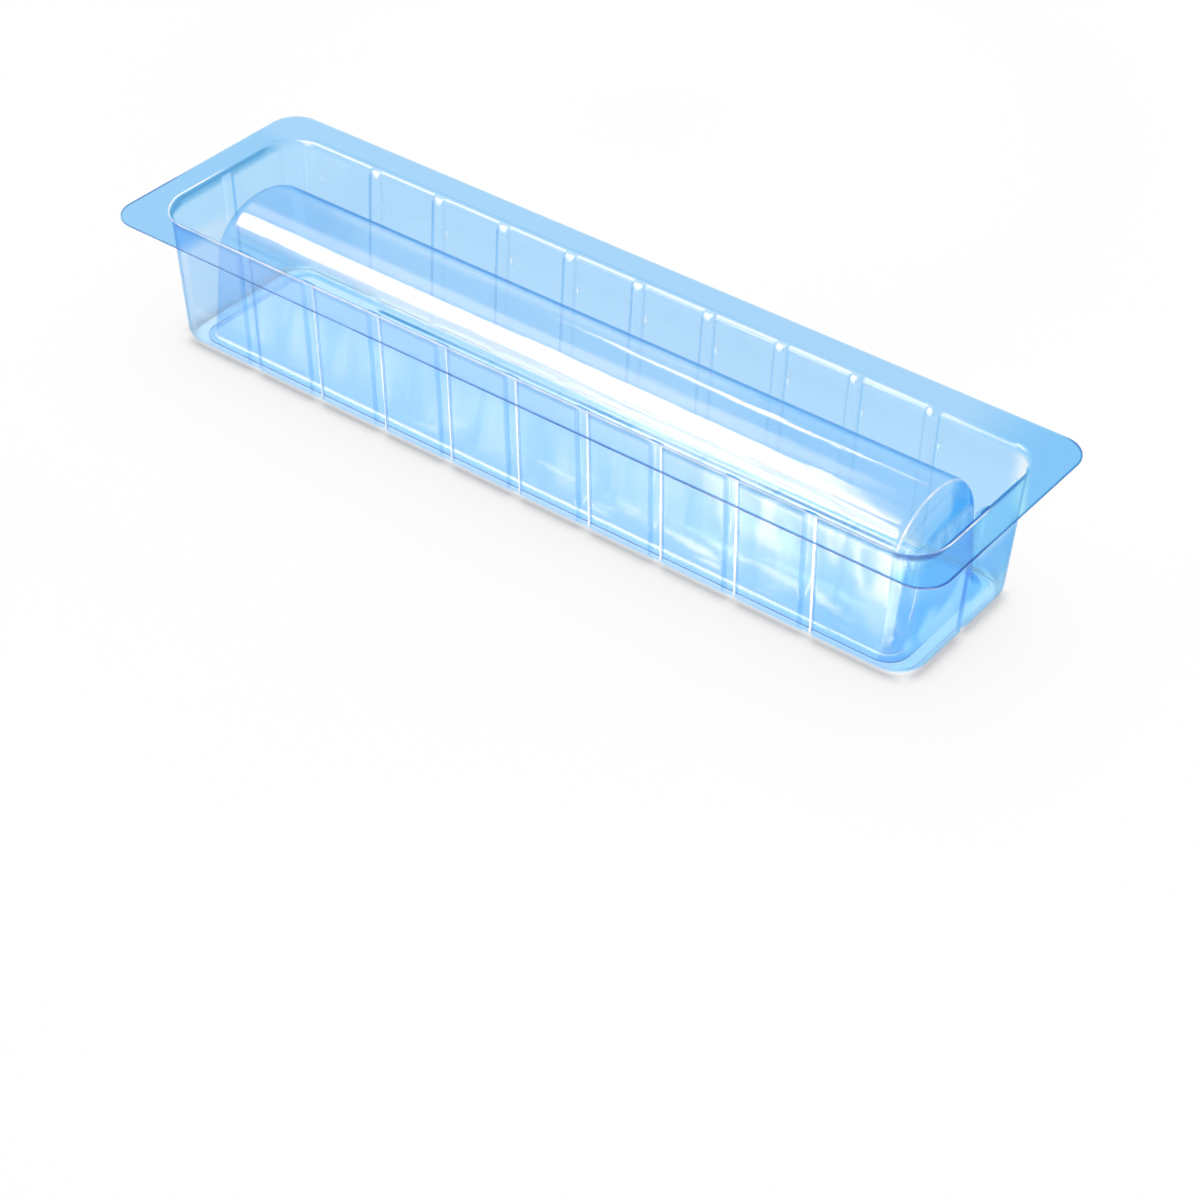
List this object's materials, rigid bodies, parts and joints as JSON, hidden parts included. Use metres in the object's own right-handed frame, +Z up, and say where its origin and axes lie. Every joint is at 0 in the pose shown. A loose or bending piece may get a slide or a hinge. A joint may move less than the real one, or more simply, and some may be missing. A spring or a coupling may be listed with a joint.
{
  "type": "yule log mould",
  "caption": "Clear pale blue plastic mould for a yule log cake: an arched log mould with rounded ends standing mouth down in a long ribbed tray with a flat flange.",
  "frame": {"origin": "centre of the tray's underside, on the surface it stands on", "axes": "+X along the log, +Z up towards the tray's open top, Y across"},
  "size_m": [0.5794, 0.1634, 0.089],
  "materials": {
    "tray_plastic": "clear pale blue formed sheet, glossy",
    "log_plastic": "clear pale blue formed sheet, glossy"
  },
  "bodies": {
    "tray": {"outer_tray": "tray_plastic"},
    "mould": {"log_mould": "log_plastic"}
  },
  "joints": [
    {"name": "mould_lift", "type": "slide", "parent": "tray", "child": "mould", "axis": [0, 0, 1], "range_m": [0, 0.095]}
  ]
}
